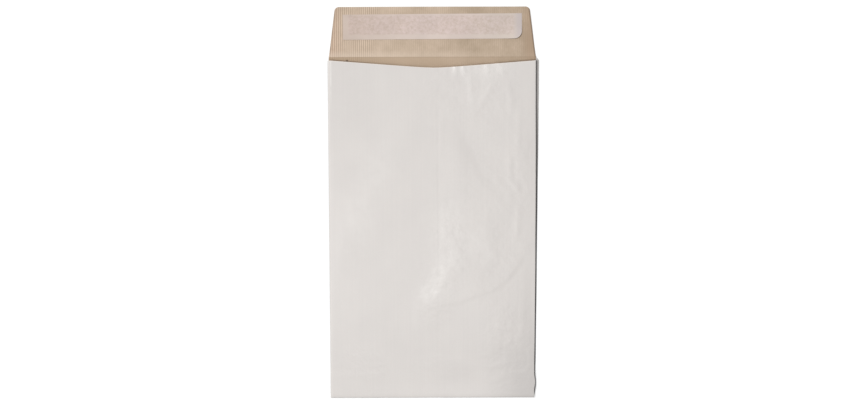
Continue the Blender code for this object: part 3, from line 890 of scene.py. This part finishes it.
def laminateMaterial():
    look = laminateLook
    material = newMaterial("whiteLaminate")
    place = objectPlace()
    axes = axesOf(place)
    clouds = noiseOf(place, look["cloudScale"], 4.0, 0.6)
    grain = noiseOf(place, look["grainScale"], 3.0, 0.6)
    streaks = noiseOf(stretched(sheetPlace(), look["streakScale"]), 1.0)
    cloudShare, grainShare, streakShare = look["toneShares"]
    tone = timesPlus(clouds, cloudShare, times(grain, grainShare))
    tone = timesPlus(streaks, streakShare, tone)
    colour = toned(look, tone)
    # Painted shade darkens the lower right corner, and the upper left a little
    for spotX, spotY, reach, strength in look["shadeSpots"]:
        away = distanceFrom(place, (spotX, spotY, 0), look["spotSquash"])
        away = timesPlus(clouds, look["spotWaver"], away)
        colour = blendColour(remap(away, look["spotWaver"], reach, strength, 0.0, True), colour, look["paintedShade"])
    # Painted shade lies in a broken line along the lap's cut edge
    beside = awayFrom(axes["X"], centreX + lapShape["edge"] + look["lapShadeOff"])
    lapShade = remap(beside, *look["lapShadeWidth"], look["lapShade"], 0.0)
    lapShade = times(lapShade, remap(noiseOf(place, look["lapShadeScale"], 3.0), *look["lapShadePatches"]))
    for fade in look["lapShadeFades"]:
        lapShade = times(lapShade, remap(axes["Y"], *fade, True))
    # Folds are rubbed pale; raised creases get painted highlights, and so does a line beside the left fold,
    # towards the mouth
    pressed = remap(awayFrom(axes["X"], look["highlightLine"]), *look["highlightLineWidth"], 1.0, 0.0)
    pressed = times(pressed, remap(axes["Y"], *look["highlightLineFade"], True))
    wearAndLight = remap(noiseOf(place, look["wearAndLightScale"], 4.0), *look["wearAndLightPatches"])
    wearAndLight = times(calc("ADD", painted("foldWearAndHighlights"), pressed), wearAndLight)
    # Painted shade in the side pleats' grooves
    groove = times(painted("pleatShade"), look["pleatShadeShare"])
    rim = times(painted("mouthRim"), look["mouthRimShare"])
    colour = paintOver(colour, (lapShade, look["paintedShade"]), (wearAndLight, look["wornAndLit"]), (groove, look["groove"]),
                       (rim, look["mouthRim"]))
    facets = times(noiseOf(place, look["facetScale"], 3.0), painted("crumple"))
    normal = None
    for height, distance in zip((grain, streaks, facets), look["bumps"]):
        normal = bumpOf(height, distance, normal)
    finishShader(look, clouds, colour, normal)
    return material


# Ribbed kraft, inside

kraftLook = {
    "light": (0.655, 0.520, 0.402),
    "dark": (0.425, 0.330, 0.236),
    "rib": (0.36, 0.26, 0.185),
    "ribContrast": (1.1, 0.12),
    "ribPitch": 0.0024,
    "ribWaver": (0.15, 1.0, 0.3),  # distortion, detail, scale of the detail
    "ribsFade": (-0.062, -0.044, 1.0, 0.22),
    "ribsFadeWaver": 0.02,
    "fibreScale": (900.0, 190.0, 1.0),
    "cloudScale": 34.0,
    "cloudContrast": 1.2,
    "fibreContrast": (0.5, -0.2),
    "toneRange": (0.30, 1.0, 0, 1),
    # painted light, lighter towards the left, and painted shade along the right rim
    "sideLight": ((-0.12, 0.12, 0.26, -0.26), (0.098, 0.116, 0.0, -0.2)),
    "rimTint": (0.98, 0.93, 0.91),  # browner along the flap's two sides
    "rimFrom": (0.101, 0.113),
    # painted shade in a thin line along the flap's slanting edges
    "edgeShadeWidth": (0.0008, 0.0020),
    "edgeShadeSides": (-0.1, 0.1, 0.25, 0.7),  # a thin line along the flap's slanting edges, darker at its right
    "creaseHighlight": (0.70, 0.575, 0.465),  # painted highlight on the flap just above the crease
    "creaseHighlightReach": 0.009,
    "creaseHighlightShare": 0.55,
    "creaseHighlightFade": (-0.12, 0.10, 1.0, 0.15),
    # painted shade in the bag's throat
    "throat": (0.46, 0.335, 0.225),
    "throatShadeFade": (-0.12, 0.10, 0.85, 0.35),
    "throatShadeEdge": (0.0006, 0.0001),  # short of the crease, as are the next two
    "shadow": (0.16, 0.105, 0.07),
    "creaseShadeLine": 0.16,
    "lineStarts": (0.0016, 0.0005),
    "lineEnds": (0.0004, 0.0),
    # painted shade, a dark spot where the pleat's inner fold opens
    "pleatEnd": (-0.0997, 0.1668, 0),  # where the left pleat's inner fold opens into the mouth
    "pleatEndFade": (0.0008, 0.0018, 0.9, 0.0),
    "fleck": (0.36, 0.25, 0.17),
    "fleckScale": (1500.0, 700.0, 1.0),
    "fleckFade": (0.66, 0.76, 0, 0.5),
    "fibreBump": 0.00006,
    "ribBump": 0.00022,
    "specular": 0.25,
    "roughness": (0.52, 0.66),
}


def kraftMaterial():
    look = kraftLook
    material = newMaterial("ribbedKraft")
    place, flat = objectPlace(), sheetPlace()
    sideways, upward = axesOf(place)["X"], axesOf(flat)["Y"]
    fibres = noiseOf(stretched(flat, look["fibreScale"]), 1.0, 4.0, 0.65)
    clouds = noiseOf(place, look["cloudScale"], 4.0, 0.6)
    distortion, detail, detailScale = look["ribWaver"]
    wave = {"Vector": flat, "Scale": 2 * pi / (20 * look["ribPitch"]), "Distortion": distortion,
            "Detail": detail, "Detail Scale": detailScale}
    ribs = addNode("TexWave", wave, wave_type="BANDS", bands_direction="X").outputs["Fac"]
    # The ribs are pressed out over most of the sheet and stand best at its left
    kept = remap(timesPlus(clouds, look["ribsFadeWaver"], sideways), *look["ribsFade"], True)
    ribTone = times(calc("SUBTRACT", ribs, 0.5), kept)
    tone = timesPlus(clouds, look["cloudContrast"], timesPlus(fibres, *look["fibreContrast"]))
    leftLight, rightRimShade = [remap(sideways, *fade) for fade in look["sideLight"]]
    tone = calc("ADD", tone, calc("ADD", leftLight, rightRimShade))
    colour = blendColour(remap(tone, *look["toneRange"]), look["dark"], look["light"])
    colour = paintOver(colour, (timesPlus(ribTone, *look["ribContrast"]), look["rib"]))
    rim = remap(awayFrom(sideways, centreX), *look["rimFrom"], 0.0, 1.0)
    colour = blendColour(rim, colour, look["rimTint"], "MULTIPLY")
    # How far inside the flap's slanting edges, for a thin line of painted shade along them
    crease = creaseY - bendY
    leftEdge, rightEdge = flapEdges(creaseY)
    slant = flapShape["taper"] / bagShape["flapLength"]
    past = calc("MAXIMUM", calc("SUBTRACT", upward, crease), 0.0)
    outward = timesPlus(past, slant, awayFrom(sideways, (leftEdge + rightEdge) / 2))
    inside = calc("SUBTRACT", (rightEdge - leftEdge) / 2, outward)
    edgeShade = times(remap(inside, *look["edgeShadeWidth"], 1.0, 0.0), remap(sideways, *look["edgeShadeSides"]))
    # Painted highlight above the crease, painted shade in the bag's throat, with a faint painted shadow line
    # between
    creaseLit = remap(upward, crease, crease + look["creaseHighlightReach"], look["creaseHighlightShare"], 0.0, True)
    creaseLit = times(creaseLit, remap(sideways, *look["creaseHighlightFade"]))
    throatShadeEdge, lineStarts, lineEnds = [
        [crease - short for short in look[name]] for name in ("throatShadeEdge", "lineStarts", "lineEnds")]
    throatShade = remap(upward, *throatShadeEdge, 1.0, 0.0)
    throatShade = times(throatShade, remap(sideways, *look["throatShadeFade"]))
    line = remap(upward, *lineStarts, 0.0, look["creaseShadeLine"])
    line = times(line, remap(upward, *lineEnds, 1.0, 0.0))
    pleatEnd = remap(distanceFrom(place, look["pleatEnd"], (1, 1, 0)), *look["pleatEndFade"])
    flecks = remap(noiseOf(stretched(place, look["fleckScale"]), 1.0, 2.0, 0.7), *look["fleckFade"])
    colour = paintOver(colour, (edgeShade, look["shadow"]), (creaseLit, look["creaseHighlight"]), (throatShade, look["throat"]),
                       (line, look["shadow"]), (painted("mouthShade"), look["shadow"]),
                       (pleatEnd, look["shadow"]), (flecks, look["fleck"]))
    normal = bumpOf(times(ribs, kept), look["ribBump"], bumpOf(fibres, look["fibreBump"]))
    finishShader(look, fibres, colour, normal)
    return material


# Any finish that is one fibrous or rippled tone between two colours
def plainMaterial(name, look):
    material = newMaterial(name)
    pattern = noiseOf(stretched(objectPlace(), look["stretch"]), look["scale"], 3.0, look["noiseRoughness"])
    finishShader(look, pattern, toned(look, pattern), bumpOf(pattern, look["bump"]))
    return material


cutEdgeLook = {
    "dark": (0.60, 0.50, 0.42),
    "light": (0.78, 0.68, 0.60),
    "stretch": (1, 1, 1),
    "scale": 1800.0,
    "noiseRoughness": 0.6,
    "bump": 0.00008,
    "roughness": (0.75, 0.9),
}

for finish in (laminateMaterial(), kraftMaterial(), plainMaterial("cutEdge", cutEdgeLook)):
    bag.data.materials.append(finish)
thickness = bag.vertex_groups.new(name="thickness")
shares = [item.value for item in bag.data.attributes["plyShare"].data]
for share in set(shares):
    thickness.add([index for index, value in enumerate(shares) if value == share], share, "REPLACE")
applyModifier(bag, "SOLIDIFY", thickness=bagShape["sheet"], offset=0, use_even_offset=True,
              use_quality_normals=True, material_offset=1, material_offset_rim=2, vertex_group="thickness")
bpy.ops.object.shade_smooth_by_angle(angle=smoothAngle)
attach(bag, "root")
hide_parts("bag")
print("bag", len(bag.data.polygons), "faces")


# The strips on the flap

stripLook = {
    "cell": 0.0035,
    "tilt": 0.3,  # degrees
    "adhesiveThickness": 0.0001,
    "thickness": 0.00012,  # the cover's
    "seat": 0.00002,
    "shrunk": 0.0012,  # the cover's top edge has come back a little
    "cornerRadius": 0.0088,
    "cornerLift": 0.0013,
    "cornerReach": 0.013,
    "edgeLift": 0.00012,
    "edgeWaver": 0.03,  # over what length its edges lift more and less
    "edgeFrom": (0.010, 0.015),
}


# A flat plate cut to cells, one corner rounded if asked
def cutPlate(name, low, high, roundedCorner=0):
    bpy.ops.object.select_all(action="DESELECT")
    middle = (low + high) / 2
    bpy.ops.mesh.primitive_plane_add(size=1, location=(middle.x, middle.y, 0))
    plate = bpy.context.object
    plate.name = plate.data.name = name
    plate.scale = (high.x - low.x, high.y - low.y, 1)
    bpy.ops.object.transform_apply(location=True, rotation=True, scale=True)
    bpy.ops.object.mode_set(mode="EDIT")
    if roundedCorner:
        bpy.ops.mesh.select_all(action="DESELECT")
        bpy.ops.mesh.select_mode(type="VERT")
        editMesh = bmesh.from_edit_mesh(plate.data)
        corner = min(editMesh.verts, key=lambda vertex: vertex.co.y - vertex.co.x)
        corner.select_set(True)
        bmesh.update_edit_mesh(plate.data)
        bpy.ops.mesh.bevel(offset=roundedCorner, segments=8, profile=0.5, affect="VERTICES")
    for axis, start, end in ((0, low.x, high.x), (1, low.y, high.y)):
        count = round((end - start) / stripLook["cell"])
        for step in range(1, count):
            point = [middle.x, middle.y, 0]
            point[axis] = mix(start, end, step / count)
            bpy.ops.mesh.select_all(action="SELECT")
            bpy.ops.mesh.bisect(plane_co=point, plane_no=(1 - axis, axis, 0))
    bpy.ops.object.mode_set(mode="OBJECT")
    return plate


adhesiveLow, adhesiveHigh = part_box("adhesive_strip")
linerLow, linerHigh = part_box("release_liner")
linerHigh.y -= stripLook["shrunk"]
adhesiveBottom = (layer + bagShape["sheet"]) / 2 + stripLook["seat"]
linerBottom = adhesiveBottom + stripLook["adhesiveThickness"] + 2 * stripLook["seat"]


def layOnFlap(plate, bottom, thickness, lift=lambda x, y: 0):
    tilt = radians(stripLook["tilt"])
    middle = (linerLow + linerHigh) / 2
    for vertex in plate.data.vertices:
        dx, dy = vertex.co.x - middle.x, vertex.co.y - middle.y
        vertex.co.x = middle.x + dx * cos(tilt) - dy * sin(tilt)
        vertex.co.y = middle.y + dy * cos(tilt) + dx * sin(tilt)
        vertex.co.z = bottom + flapLift(vertex.co.x, vertex.co.y) + lift(dx, dy)
    applyModifier(plate, "SOLIDIFY", thickness=thickness, offset=1)
    bpy.ops.object.shade_smooth_by_angle(angle=smoothAngle)


def linerLift(dx, dy):
    cornerX = dx - (linerHigh.x - linerLow.x) / 2
    cornerY = -dy - (linerHigh.y - linerLow.y) / 2
    nearCorner = exp(-(hypot(cornerX, cornerY) / stripLook["cornerReach"]) ** 2)
    unevenness = 1 + waver(dx, stripLook["edgeWaver"], 51)
    edge = stripLook["edgeLift"] * unevenness * ease(abs(dy), *stripLook["edgeFrom"])
    return stripLook["cornerLift"] * nearCorner + edge


adhesive = cutPlate("adhesiveBand", adhesiveLow, adhesiveHigh)
layOnFlap(adhesive, adhesiveBottom, stripLook["adhesiveThickness"])
liner = cutPlate("releaseLiner", linerLow, linerHigh, stripLook["cornerRadius"])
layOnFlap(liner, linerBottom, stripLook["thickness"], linerLift)

linerLook = {
    "paper": (0.620, 0.515, 0.455),
    "dark": (0.520, 0.410, 0.345),  # over the adhesive
    "light": (0.640, 0.515, 0.475),
    "lilac": (0.535, 0.452, 0.440),
    "lilacRim": (0.0115, 0.003),  # from how far inside the right end, to
    "lilacShare": 0.8,
    "mottleScale": 330.0,
    "speckleScale": 900.0,
    "speckleFade": (0.45, 0.7, 0, 0.6),
    "cloudScale": 40.0,
    "cloudFade": (0.35, 0.65, 0.97, 1.03),
    "wobbleScale": 240.0,
    "wobble": 0.002,  # of the adhesive's edge, which shows through
    "soft": 0.0012,
    "softRight": 0.003,
    "inset": 0.001,
    # How strong red, green and blue are at the left, in the middle and at the right
    "tints": ((0.885, 1.035, 0.955), (0.865, 1.05, 0.978), (0.835, 1.07, 0.965)),
    "tintLeft": (-0.11, -0.01),
    "tintRight": (0.03, 0.07),
    "mottleBump": 0.00010,
    "speckleBump": 0.00003,
    "roughness": (0.30, 0.42),
}


def linerMaterial():
    look = linerLook
    material = newMaterial("siliconePaper")
    place = objectPlace()
    axes = axesOf(place)
    wobble = times(noiseOf(place, look["wobbleScale"], 3.0), look["wobble"])
    x, y = [calc("ADD", axes[name], wobble) for name in "XY"]
    soft, inset = look["soft"], look["inset"]
    left = remap(x, adhesiveLow.x - soft + inset, adhesiveLow.x + soft + inset, 0, 1, True)
    right = remap(x, adhesiveHigh.x - look["softRight"], adhesiveHigh.x + soft, 1, 0, True)
    low = remap(y, adhesiveLow.y - soft + inset, adhesiveLow.y + soft + inset, 0, 1, True)
    high = remap(y, adhesiveHigh.y - soft, adhesiveHigh.y + soft, 1, 0, True)
    glued = times(times(left, right), times(low, high))
    mottle = noiseOf(place, look["mottleScale"], 4.0, 0.7)
    speckle = noiseOf(place, look["speckleScale"], 2.0, 0.6)
    glue = blendColour(remap(speckle, *look["speckleFade"]), toned(look, mottle), look["paper"])
    colour = blendColour(glued, look["paper"], glue)
    rimFrom, rimTo = [linerHigh.x - inward for inward in look["lilacRim"]]
    colour = blendColour(remap(axes["X"], rimFrom, rimTo, 0, look["lilacShare"], True), colour, look["lilac"])
    light = remap(noiseOf(place, look["cloudScale"]), *look["cloudFade"])
    tones = []
    for atLeft, atMiddle, toRight in look["tints"]:
        tone = times(light, remap(axes["X"], *look["tintLeft"], atLeft, atMiddle))
        tones.append(times(tone, remap(axes["X"], *look["tintRight"], 1.0, toRight)))
    tint = addNode("CombineColor", dict(enumerate(tones))).outputs[0]
    colour = blendColour(1.0, colour, tint, "MULTIPLY")
    normal = bumpOf(speckle, look["speckleBump"], bumpOf(times(mottle, glued), look["mottleBump"]))
    finishShader(look, mottle, colour, normal)
    return material


adhesiveLook = {
    "dark": (0.56, 0.44, 0.36),
    "light": (0.66, 0.54, 0.46),
    "stretch": (160.0, 700.0, 160.0),
    "scale": 1.0,
    "noiseRoughness": 0.5,
    "bump": 0.00008,
    "roughness": (0.22, 0.36),
}

for piece, finish, node, slot in (
        (adhesive, plainMaterial("tackyAdhesive", adhesiveLook), "adhesive_strip", "adhesive"),
        (liner, linerMaterial(), "release_liner", "release_paper")):
    piece.data.materials.append(finish)
    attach(piece, "root")
    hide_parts(node)
    print(piece.name, len(piece.data.polygons), "faces")


# Table, light and camera

studio = {
    "world": 0.42,
    "lamps": {  # place, size, power
        "keyLamp": ((-4.5, 3.0, 8.15), 2.4, 562),
        "topLamp": ((0.15, -0.60, 2.8), 1.0, 4.6),
        "satinLamp": ((-1.08, -0.56, 2.8), 0.8, 4.5),
    },
    "floorSize": 8,
    "floorZ": -0.0002,
    "floorColour": (0.3, 0.3, 0.3, 1),
    "floorSeen": (0.52, 0.52, 0.52, 1),
    "floorGlow": 0.55,
}


def seenDirectly():  # camera rays, and what a mirror or clear piece passes on
    rays = addNode("LightPath").outputs
    total = calc("MAXIMUM", rays["Is Camera Ray"], rays["Is Glossy Ray"])
    return calc("MAXIMUM", total, rays["Is Transmission Ray"])


def makeFloor():
    bpy.ops.object.select_all(action="DESELECT")
    bpy.ops.mesh.primitive_plane_add(size=studio["floorSize"], location=(0, 0, studio["floorZ"]))
    floor = bpy.context.object
    floor.name = "table"
    floor.data.materials.append(newMaterial("paleTable"))
    nodeTree.nodes.remove(nodeTree.nodes["Principled BSDF"])
    plain = addNode("BsdfDiffuse", {"Color": studio["floorColour"]})
    seen = addNode("BsdfDiffuse", {"Color": studio["floorSeen"]})
    glow = addNode("Emission", {"Strength": studio["floorGlow"]})
    both = addNode("AddShader", {0: seen.outputs[0], 1: glow.outputs[0]})
    chosen = addNode("MixShader", {0: seenDirectly(), 1: plain.outputs[0], 2: both.outputs[0]})
    nodeTree.links.new(chosen.outputs[0], nodeTree.nodes["Material Output"].inputs["Surface"])


def makeWorld():
    bpy.context.scene.world = useNodes(bpy.data.worlds.new("studio"))
    background = nodeTree.nodes["Background"]
    background.inputs["Color"].default_value = (1, 1, 1, 1)
    strength = remap(seenDirectly(), 0, 1, studio["world"], 1.0)
    nodeTree.links.new(strength, background.inputs["Strength"])


def makeLamp(name, place, size, power):
    bpy.ops.object.light_add(type="AREA", location=place)
    lamp = bpy.context.object
    lamp.name = name
    lamp.data.shape = "DISK"
    lamp.data.size = size
    lamp.data.energy = power
    lamp.rotation_euler = (-lamp.location).to_track_quat("-Z", "Y").to_euler()


cameraView = {
    "aim": (-0.00773, -0.00047, 0),
    "distance": 1.2,
    "lean": 3.915,  # degrees off straight down, towards the flap
    "roll": -0.162,
    "sensor": 36,
    "focal": 1027.24 / 854,  # in widths of the picture
    "clip": (0.01, 20),
}


def makeCamera():
    lean, roll = radians(cameraView["lean"]), radians(cameraView["roll"])
    away = Vector((-sin(roll) * sin(lean), cos(roll) * sin(lean), cos(lean)))
    right = Vector((cos(roll), sin(roll), 0))
    up = away.cross(right)
    bpy.ops.object.camera_add(location=Vector(cameraView["aim"]) + away * cameraView["distance"])
    camera = bpy.context.object
    camera.rotation_euler = Matrix((right, up, away)).transposed().to_euler()
    camera.data.sensor_width = cameraView["sensor"]
    camera.data.lens = cameraView["focal"] * cameraView["sensor"]
    camera.data.clip_start, camera.data.clip_end = cameraView["clip"]
    bpy.context.scene.camera = camera


makeFloor()
makeWorld()
for name, (place, size, power) in studio["lamps"].items():
    makeLamp(name, place, size, power)
makeCamera()
bpy.context.scene.view_settings.view_transform = "Standard"
